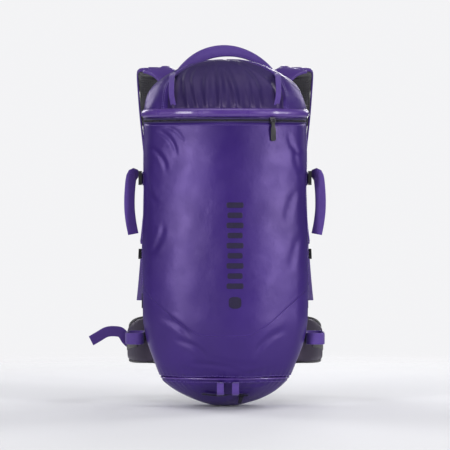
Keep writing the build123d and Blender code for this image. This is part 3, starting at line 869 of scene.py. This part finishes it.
def haul_loop():
    line, radial = arc3((-92, 452), (-4, 511), (94, 452), 15)
    pts = [(x, -11, z) for x, z in line]
    dirs = [(x, 0, z) for x, z in radial]
    wide = [15, 15, 16, 18, 20, 21, 21, 20.5, 19, 17, 15.5, 14.5, 14, 14, 14]
    o = sweep("haul_handle", pts, dirs, wide, 7.2, M["web"], 0.0035, power=2.8, sides=22, ripple=0.25,
              seed=9)
    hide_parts("haul_loop")
    edge = []
    for k in (-1, 1):
        p = np.array([np.array(a) + np.array(d) * k * w * 0.36 for a, d, w in zip(pts, dirs, wide)]) * MM
        fit = curve(np.arange(len(p)), p)(np.linspace(0.6, len(p) - 1.6, 200))
        for face in (-1, 1):
            out = np.tile((0, float(face), 0), (200, 1))
            edge.append(stitch_run(fit + np.array([0, face * 0.0031, 0]), out, 4.6))
    rows = stitches("haul_stitches", edge, (3.0, 0.7, 0.8))
    for piece in (o, rows):   # the feet are sewn to the bag; the handle and its stitches are baked in place
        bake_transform(piece)
    for k, name in ((-1, "left"), (1, "right")):
        path = sided(k, [(93, -15.4, 452), (93.5, -16.2, 444), (94, -16.8, 434), (95, -17.0, 424)])
        tab = sweep("haul_tab_" + name, path, (1, 0, 0), [16, 19, 20, 18], 2.0, M["web"], 0.003)
        settle(tab, "pack", "web_purple")


def rounded_rect(a, b, r, n=5):
    """Points of a rounded rectangle of half sides a and b."""
    out = []
    for cx, cy, t0 in ((a - r, b - r, 0), (r - a, b - r, 90), (r - a, r - b, 180), (a - r, r - b, 270)):
        for i in range(n):
            t = math.radians(t0 + 90 * i / (n - 1))
            out.append((cx + r * math.cos(t), cy + r * math.sin(t)))
    return out


LASH_RISE = [(409, 0.6), (414, 3.6), (422, 9.0), (438, 10.0), (453, 9.2), (461, 4.4), (466, 0.6)]


def bag_loops():
    """Lash loops on the hood, ski loops at the sides, tool loops under the front."""
    for k, name in ((1, "right"), (-1, "left")):
        pts = []
        for z, proud in LASH_RISE:
            l = round_from(88 * MM, z * MM)
            pts.append(tuple(bag(k * l, run_at(z * MM), proud * MM) / MM))
        l = round_from(88 * MM, 0.411)
        n = bag_normal(k * l, run_at(0.411))
        o = sweep("lash_loop_web_" + name, pts, (-n[1], n[0], 0), 10, 2.0, M["web"], 0.003)
        settle(o, "pack", "web_purple", "lash_loop_" + name)

        ring = [(k * (157 + x), -68 + y, 7) for x, y in rounded_rect(15, 49, 12, 6)]
        o = sweep("ski_loop_web_" + name, ring, (0, 0, 1), 20, 2.2, M["web"], 0.004, closed=True)
        settle(o, "pack", "web_purple", "ski_loop_" + name)
        # bartacks hold the loop to the side seam
        spots = [(k * 141.2, -68 + y, 7) for y in (-34, -30, 30, 34)]
        tacks = beads("ski_loop_tacks_" + name, np.array(spots) * MM, (0, 0, 1), (k, 0, 0),
                      (17, 2.2, 5.2), M["dark_thread"])
        settle(tacks, "pack", "web_purple")

        x0 = -14 if k < 0 else 12
        ring = [(x0 + 6, -172.7 + y, -76 + z) for y, z in rounded_rect(7, 10, 6, 5)]
        o = sweep("tool_loop_web_" + name, ring, (1, 0, 0), 12, 2.0, M["web"], 0.0025, closed=True)
        settle(o, "pack", "web_purple", "tool_loop_" + name)


def ski_straps():
    for k, name in ((1, "right"), (-1, "left")):
        x, z = 147, 285
        band = [(x - 0.6, -31, z), (x + 1.2, -50, z), (x + 1.8, -70, z), (x + 1.0, -90, z), (x, -106, z)]
        body = "ski_strap_" + name
        o = sweep("ski_band_" + name, sided(k, band), (0, 0, 1), 20, 2.0, M["web"], 0.004)
        settle(o, body, "web_purple", "ski_strap_" + name)
        tail = [(x + 3.5, -110, z + 2), (x + 9, -114, z + 8), (x + 14, -117, z + 5), (x + 17.5, -119, z - 22),
                (x + 18, -120, z - 52), (x + 15.5, -120, z - 76), (x + 11.5, -120, z - 97)]
        dirs = [(0.25, -0.1, 0.9), (0.5, -0.3, 0.5), (0.9, -0.44, 0.1)] + [(0.9, -0.44, 0)] * 4
        o = sweep("ski_tail_" + name, sided(k, tail), sided(k, dirs), [18, 19, 20, 20, 20, 20, 20], 2.0,
                  M["web"], 0.0035)
        settle(o, body, "web_purple")
        tab = [(142.6, -18, z), (143.4, -26, z), (144.8, -34, z)]
        o = sweep("ski_strap_tab_" + name, sided(k, tab), (0, 0, 1), 24, 1.6, M["web"], 0.003)
        settle(o, "pack", "web_purple")


# ---- padded pieces ------------------------------------------------------------------
def pad_strip(name, points, dirs, widths, thick):
    """Closed form of a strap pad, slightly thin, ready to swell."""
    place, along, across, out, wide, at = frames_along(points, dirs, widths, 0.006)
    sides = 20
    a = np.arange(sides) / sides * 2 * math.pi
    ea = np.sign(np.cos(a)) * np.abs(np.cos(a)) ** 0.4
    eb = np.sign(np.sin(a)) * np.abs(np.sin(a)) ** 0.75
    w = 0.5 * (wide[:, None] - 0.003) * ea
    t = 0.5 * thick * 0.74 * MM * eb
    verts = place[:, None] + across[:, None] * w[..., None] + out[:, None] * (t + 0 * w)[..., None]
    o = add_mesh(name, verts, [f[::-1] for f in capped_ring(len(at), sides)], [])
    return o, (place, along, across, out, wide)


def pad_panel(name, x0, x1, z0, z1, y0, y1, r):
    """Closed form of a back-panel pad, facing Y."""
    outline = rounded_rect((x1 - x0) / 2 - 1.0, (z1 - z0) / 2 - 1.0, r, 8)
    cx, cz, ym, t = (x0 + x1) / 2, (z0 + z1) / 2, (y0 + y1) / 2, (y1 - y0) * 0.40
    verts = []
    for y, k in ((-t, 0.97), (-t * 0.5, 1.0), (t * 0.5, 1.0), (t, 0.97)):
        verts += [((cx + px * k) * MM, (ym + y) * MM, (cz + pz * k) * MM) for px, pz in outline]
    return add_mesh(name, verts, capped_ring(4, len(outline)), [])


def apply_modifier(o, m):
    bpy.context.view_layer.objects.active = o
    with bpy.context.temp_override(object=o, active_object=o, selected_objects=[o]):
        bpy.ops.object.modifier_apply(modifier=m.name)


def fix_normals(o):
    bm = bmesh.new()
    bm.from_mesh(o.data)
    bmesh.ops.recalc_face_normals(bm, faces=bm.faces)
    bm.to_mesh(o.data)
    bm.free()


def swell_pads(jobs):
    """Voxel remesh, then Cloth with inner pressure; how far a point moves is capped."""
    rest = {}
    for o, voxel, _, _ in jobs:
        fix_normals(o)
        m = o.modifiers.new("remesh", "REMESH")
        m.mode, m.voxel_size = "VOXEL", voxel
        apply_modifier(o, m)
        rest[o.name] = coords(o)
    for o, _, pressure, _ in jobs:
        m = o.modifiers.new("cloth", "CLOTH")
        m.settings.quality = 5
        m.settings.use_pressure = True
        m.settings.uniform_pressure_force = pressure
        m.settings.effector_weights.gravity = 0
        m.settings.tension_stiffness = 12
        m.settings.compression_stiffness = 8
    for f in range(1, SIM_FRAMES + 1):
        bpy.context.scene.frame_set(f)
    for o, _, _, cap in jobs:
        apply_modifier(o, o.modifiers["cloth"])
        move = coords(o) - rest[o.name]
        far = np.linalg.norm(move, axis=1, keepdims=True)
        set_coords(o, rest[o.name] + move * np.minimum(1, cap / np.maximum(far, 1e-9)))
    bpy.context.scene.frame_set(1)
    for o, *_ in jobs:
        m = o.modifiers.new("smooth", "SUBSURF")
        m.levels = m.render_levels = 1
        apply_modifier(o, m)


def two_faced(o, frames, mats, sign=1):
    """Outer fabric on the side the frames' out points to, inner mesh on the other."""
    place, out = frames[0], frames[3]
    for m in mats:
        o.data.materials.append(m)
    centre = read(o.data.polygons, "center")
    near = np.argmin(((centre[:, None] - place[None]) ** 2).sum(2), 1)
    facing = np.sum((centre - place[near]) * out[near], 1) * sign
    o.data.polygons.foreach_set("material_index", (facing < 0).astype(np.int32))
    sharpen(o, 60)


def edge_binding(name, frames, mat, thick=5.0, inset=0.0036):
    """Folded tape round a strap pad's edge."""
    place, along, across, out, wide = frames
    h = (0.5 * wide - inset)[:, None]
    right, left = place + across * h, place - across * h
    top = [place[-1] + across[-1] * h[-1] * k + along[-1] * 0.001 for k in (0.5, 0.0, -0.5)]
    low = [place[0] + across[0] * h[0] * k - along[0] * 0.001 for k in (-0.5, 0.0, 0.5)]
    line = np.concatenate([right, top, left[::-1], low]) / MM
    dirs = np.concatenate([out, [out[-1]] * 3, out[::-1], [out[0]] * 3])
    return sweep(name, line, dirs, thick, 3.6, mat, 0.005, closed=True, power=3, sides=12)


YOKE = [(70, -2.5, 386), (73, 6, 416), (84, 24, 447), (102, 48, 470), (124.4, 75.6, 482.1)]
YOKE_DIRS = [(1, 0, 0), (1, -0.12, 0), (1, -0.32, 0), (1, -0.42, 0), (1, -0.22, 0)]
CHEST = [(126.6, 80.4, 481.9), (131, 110, 476), (129, 140, 440), (126, 166, 405), (118, 182, 320),
         (118, 180, 260), (128, 158, 205), (140, 124, 168)]
HIP = [(119, -4, 0), (136, 3, 0), (156, 24, -3), (168, 62, -8), (172, 105, -13), (167, 140, -16)]


def harness_pads():
    yoke, yf = pad_strip("shoulder_yoke_soft_right", YOKE, YOKE_DIRS, [54, 56, 58, 60, 62], 12)
    chest, cf = pad_strip("shoulder_pad_soft_right", CHEST, [(1, -0.22, 0)] + [(1, 0, 0)] * 7,
                          [62, 62, 64, 66, 66, 62, 52, 34], 12)
    hip, hf = pad_strip("hip_pad_soft_right", HIP, (0, 0, 1), [88, 88, 84, 76, 64, 48], 9)
    back = pad_panel("back_pad_soft_right", 22, 104, 84, 372, -8.9, -0.6, 26)
    lumbar = pad_panel("lumbar_pad_soft", -112, 112, -46, 46, -8.9, 0, 20)
    foam = pad_panel("back_foam_soft", -110, 110, -46, 442, -13.1, -9.1, 34)
    swell_pads([(yoke, 0.0042, 3.0, 0.0024), (chest, 0.0042, 3.0, 0.0024), (hip, 0.0042, 2.6, 0.0016),
                (back, 0.0040, 3.0, 0.0018), (lumbar, 0.0040, 3.0, 0.0020), (foam, 0.0050, 1.0, 0.0006)])

    # sewn channels across the back pads and up the lumbar pad
    co = coords(back)
    slant = 0.10 * (co[:, 0] - 0.063)
    groove = sum(bell(co[:, 2] - z - slant, 0.0030) for z in (0.150, 0.215, 0.280, 0.335))
    co[:, 1] -= 0.0030 * np.minimum(groove, 1) * (co[:, 1] > -0.0048)
    set_coords(back, co)
    co = coords(lumbar)
    groove = sum(bell(np.abs(co[:, 0]) - x, 0.0030) for x in (0.026, 0.074))
    co[:, 1] -= 0.0030 * np.minimum(groove, 1) * (co[:, 1] > -0.0045)
    set_coords(lumbar, co)
    for o in (back, lumbar, foam):
        o.data.materials.append(M["mesh"])
        sharpen(o, 60)
    # the outside of a strap pad is the side away from the wearer
    two_faced(yoke, yf, [M["strap"], M["mesh"]], sign=-1 if yf[3][2][2] < 0 else 1)
    two_faced(chest, cf, [M["strap"], M["mesh"]], sign=1 if cf[3][len(cf[3]) // 2][1] > 0 else -1)
    two_faced(hip, hf, [M["belt"], M["mesh"]], sign=1 if hf[3][len(hf[3]) // 2][0] > 0 else -1)

    bind_yoke = edge_binding("yoke_binding_right", yf, M["strap"], 6)
    bind_chest = edge_binding("pad_binding_right", cf, M["strap"], 6)
    bind_hip = edge_binding("hip_binding_right", hf, M["tape"], 5)

    # webbing sewn down the outside of the chest pad, in daisy-chain steps
    out = cf[3] * (1 if cf[3][len(cf[3]) // 2][1] > 0 else -1)
    lift = 0.0054 + 0.0012 * np.abs(np.sin(np.arange(len(out)) * 0.52))
    line = (cf[0] + out * lift[:, None])[2:-1] / MM
    daisy = sweep("pad_webbing_right", line, cf[2][2:-1], 20, 1.8, M["web"], 0.004)
    out_h = hf[3] * (1 if hf[3][len(hf[3]) // 2][0] > 0 else -1)
    line = (hf[0] + out_h * 0.0050)[7:] / MM
    hip_web = sweep("hip_pad_webbing_right", line, hf[2][7:], 24, 1.8, M["tape"], 0.004)

    for k, side in ((1, "right"), (-1, "left")):
        make = (lambda o: o) if k > 0 else (lambda o: mirrored(o, o.name.replace("right", "left")))
        a = make(yoke)
        settle(a, "pack", "strap_shell", "shoulder_yoke_" + side)
        settle(make(bind_yoke), "pack", "strap_shell")
        a = make(chest)
        b = make(bind_chest)
        for piece in (a, b):
            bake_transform(piece)
        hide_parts("shoulder_pad_" + side)
        settle(make(daisy), "shoulder_strap_" + side, "web_purple")
        a = make(hip)
        b = make(bind_hip)
        for piece in (a, b):
            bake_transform(piece)
        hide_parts("hip_pad_" + side)
        settle(make(hip_web), "hip_wing_" + side, "web_black")
        a = make(back)
        settle(a, "pack", "mesh_black", "back_pad_" + side)
    settle(lumbar, "pack", "mesh_black", "lumbar_pad")
    settle(foam, "pack", "mesh_black", "back_foam")


def harness_webbing():
    lock, anchor = np.array((143, 108, 150.0)), np.array((146.5, -12, 70.0))
    along = unit(anchor - lock)
    top, low = np.array((126, 166, 405.0)), np.array((118, 182, 320.0))
    rail = unit(low - top)
    out = np.cross((1, 0, 0), rail)
    out = unit(out if out[1] > 0 else -out)
    centre = (top + low) / 2 + out * 9.6
    across = np.cross(rail, out)
    inward = across if across[0] < 0 else -across
    for k, side in ((1, "right"), (-1, "left")):
        a, b = lock + along * 17, anchor - along
        sag = np.array((0, 0.6, -1.0))
        mid = [a + (b - a) * t + sag * math.sin(math.pi * t) * 3 for t in np.linspace(0, 1, 7)]
        o = sweep("side_webbing_" + side, sided(k, mid), (1, 0, 0), 20, 2.0, M["web"], 0.005)
        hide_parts("shoulder_webbing_" + side)
        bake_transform(o)
        pts = [centre + out * (2.4 + 1.2 * math.sin(math.pi * t)) + inward * (4 + 82 * t)
               + rail * 1.5 * math.sin(math.pi * t) for t in np.linspace(0, 1, 7)]
        down, away = sided(k, [rail, out])
        o = sweep("sternum_web_" + side, sided(k, pts), down, 16, 1.8, M["web"], 0.004)
        settle(o, "sternum_strap_" + side, "web_purple", "sternum_strap_" + side)
        clip = beads("sternum_clip_" + side, np.array(sided(k, [centre + out * 0.6])) * MM, down, away,
                     (14, 11, 6.4), M["buckle"])
        settle(clip, "sternum_strap_" + side, "buckle_black")
        belt = [(166, 146, -16), (152, 184, -18), (120, 215, -19), (82, 232, -20), (48, 236, -20)]
        o = sweep("hip_web_" + side, sided(k, belt), (0, 0, 1), 25, 2.0, M["tape"], 0.005)
        settle(o, "hip_wing_" + side, "web_black", "hip_webbing_" + side)
    tail = [(-168, 138, -16), (-174.5, 135.5, -12.5), (-181, 132, -6), (-187, 128.5, 4), (-194, 126, 8),
            (-214, 119, 8), (-231, 112.5, -1), (-243, 108, -8)]
    o = sweep("hip_tail", tail, (0.35, 0.1, 1), 19, 2.0, M["web"], 0.003)
    settle(o, "hip_wing_left", "web_purple", "hip_webbing_tail")


def pocket_inside():
    """Divider skin and three tool sleeves behind the front panel."""
    u, w = np.meshgrid(np.linspace(-1, 1, 60), np.linspace(-1, 1, 60))
    x, z = u * 0.131, 0.207 + w * 0.170
    puffed = 0.0009 * np.cos(u * math.pi / 2) * np.cos(w * math.pi / 2) + 0.0003 * swell(x, z, 71, 6, 0.04)
    outer = np.stack([x, DIVIDER_Y - 0.0014 - puffed, z], -1)
    inner = np.stack([x, DIVIDER_Y - 0.0003 + 0 * x, z], -1)
    cloth = np.stack([x, z, 0 * x], -1)
    settle(shell("divider_cloth", outer, inner, [M["lining"]], cloth), "pack", "lining", "pocket_divider")
    u, w = np.meshgrid(np.linspace(-1, 1, 121), np.linspace(0, 1, 60))
    x, z = u * 0.095, 0.061 + w * 0.168
    third = np.mod((u + 1) * 1.5, 1.0) * 2 - 1
    bulge = 1 - np.abs(third) ** 3.2
    low = ease(w / 0.16)
    y = (-0.1328 - 0.0150 * bulge * (0.35 + 0.65 * low) * (1 - 0.10 * w)
         + 0.0006 * swell(x, z, 73, 7, 0.03) * bulge)
    outer = np.stack([x, y, z], -1)
    inner = np.stack([x, np.minimum(y + 0.0012, -0.1322), z], -1)
    o = shell("tool_sleeve_cloth", outer, inner, [M["belt"], M["lining"]], np.stack([x, z, 0 * x], -1))
    settle(o, "pack", "lining", "tool_sleeve")
    hem = outer[-1] + np.array([0, -0.0004, 0.0])
    o = sweep("sleeve_hem", hem[::2] / MM, (0, 0, 1), 12, 1.6, M["tape"], 0.003)
    settle(o, "pack", "lining")


def cad_finishes():
    """Materials of the rigid parts that keep their CAD form."""
    finish = {"buckle": ("ski_strap_hook_", "strap_catch_", "strap_anchor_", "sternum_rail_", "ladder_lock_",
                         "sternum_buckle_", "hip_buckle_", "front_zip_pull", "back_zip_pull"),
              "slider": ("front_zip_slider", "back_zip_slider", "stash_zip_slider"),
              "sheet": ("frame_sheet",), "stay": ("stay_",)}
    for key, starts in finish.items():
        for name, o in NODES.items():
            if name.startswith(starts):
                for i in range(len(o.data.materials)):
                    o.data.materials[i] = M[key]
                if len(o.data.materials) == 0:
                    o.data.materials.append(M[key])


# ---- stage --------------------------------------------------------------------------
def floor_material():
    """Matt pale paper, clear towards its rim."""
    s = Shader("studio_paper", Roughness=0.9, Specular_IOR_Level=0.1)
    s.base(s.mix(s.noise(2, 2), srgb(240, 240, 243), srgb(236, 236, 240)))
    far = s.add("ShaderNodeVectorMath", {"operation": "LENGTH"}, i0=s.place).outputs["Value"]
    clear = s.add("ShaderNodeMapRange", {"interpolation_type": "SMOOTHSTEP"}, Value=far, From_Min=0.55,
                  From_Max=1.7, To_Min=1, To_Max=0)
    s.put(s.main.inputs["Alpha"], clear.outputs[0])
    return s.mat


def look_at(o, aim):
    o.rotation_euler = (Vector(aim) - o.location).to_track_quat("-Z", "Y").to_euler()


def stage():
    """Round pale floor that fades into the backdrop, studio lamps and the camera."""
    turn = np.linspace(0, 2 * math.pi, 97)[:-1]
    radii, n = (0.3, 0.6, 1.0, 1.5, 2.2, 3.0), len(turn)
    verts = [(r * math.cos(t), r * math.sin(t), FLOOR_Z) for r in radii for t in turn] + [(0, 0, FLOOR_Z)]
    faces = grid_faces(len(radii), n, closed=True) + [(len(radii) * n, i, (i + 1) % n) for i in range(n)]
    o = add_mesh("studio_floor", verts, faces, [floor_material()])
    scene = bpy.context.scene
    world = bpy.data.worlds.new("studio")
    scene.world = world
    world.use_nodes = True
    tree = world.node_tree
    fill, seen = tree.nodes["Background"], tree.nodes.new("ShaderNodeBackground")
    fill.inputs[0].default_value, fill.inputs[1].default_value = (0.86, 0.88, 0.94, 1), 0.15
    seen.inputs[0].default_value, seen.inputs[1].default_value = (0.90, 0.90, 0.915, 1), 1.0
    path, pick = tree.nodes.new("ShaderNodeLightPath"), tree.nodes.new("ShaderNodeMixShader")
    tree.links.new(path.outputs["Is Camera Ray"], pick.inputs[0])
    tree.links.new(fill.outputs[0], pick.inputs[1])
    tree.links.new(seen.outputs[0], pick.inputs[2])
    tree.links.new(pick.outputs[0], tree.nodes["World Output"].inputs[0])
    lamps = [  # name, place, aim, width, height, watts
        ("left_strip", (-1.72, -2.60, 0.62), (0, -0.1, 0.2), 0.50, 2.2, 52),
        ("right_strip", (2.30, -2.25, 0.72), (0, -0.1, 0.2), 0.50, 2.2, 57),
        ("top_soft", (0.0, -0.7, 2.6), (0, 0.0, 0.2), 2.0, 1.4, 15),
        ("back_left", (-2.2, 1.6, 1.7), (0, 0, 0.2), 1.0, 1.6, 34),
        ("back_right", (2.2, 1.6, 1.7), (0, 0, 0.2), 1.0, 1.6, 34),
        ("back_strip", (0.4, 3.2, 0.9), (0, 0, 0.2), 0.8, 1.8, 40),
    ]
    for name, place, aim, wide, tall, watts in lamps:
        data = bpy.data.lights.new(name, "AREA")
        data.shape, data.size, data.size_y, data.energy = "RECTANGLE", wide, tall, watts
        lamp = bpy.data.objects.new(name, data)
        scene.collection.objects.link(lamp)
        lamp.location = place
        look_at(lamp, aim)
    data = bpy.data.cameras.new("camera")
    camera = bpy.data.objects.new("camera", data)
    scene.collection.objects.link(camera)
    camera.location = (0.0, -4.7, 0.235)
    look_at(camera, (0.0, 0.0, 0.203))
    data.lens, data.sensor_width = 212, 36
    data.dof.use_dof = False
    scene.camera = camera
    scene.view_settings.view_transform = "Standard"
    scene.view_settings.look = "None"


main_bag()
front_panel()
printed_bars()
hood()
boot()
seams()
zips()
haul_loop()
bag_loops()
ski_straps()
pocket_inside()
harness_pads()
harness_webbing()
cad_finishes()
stage()
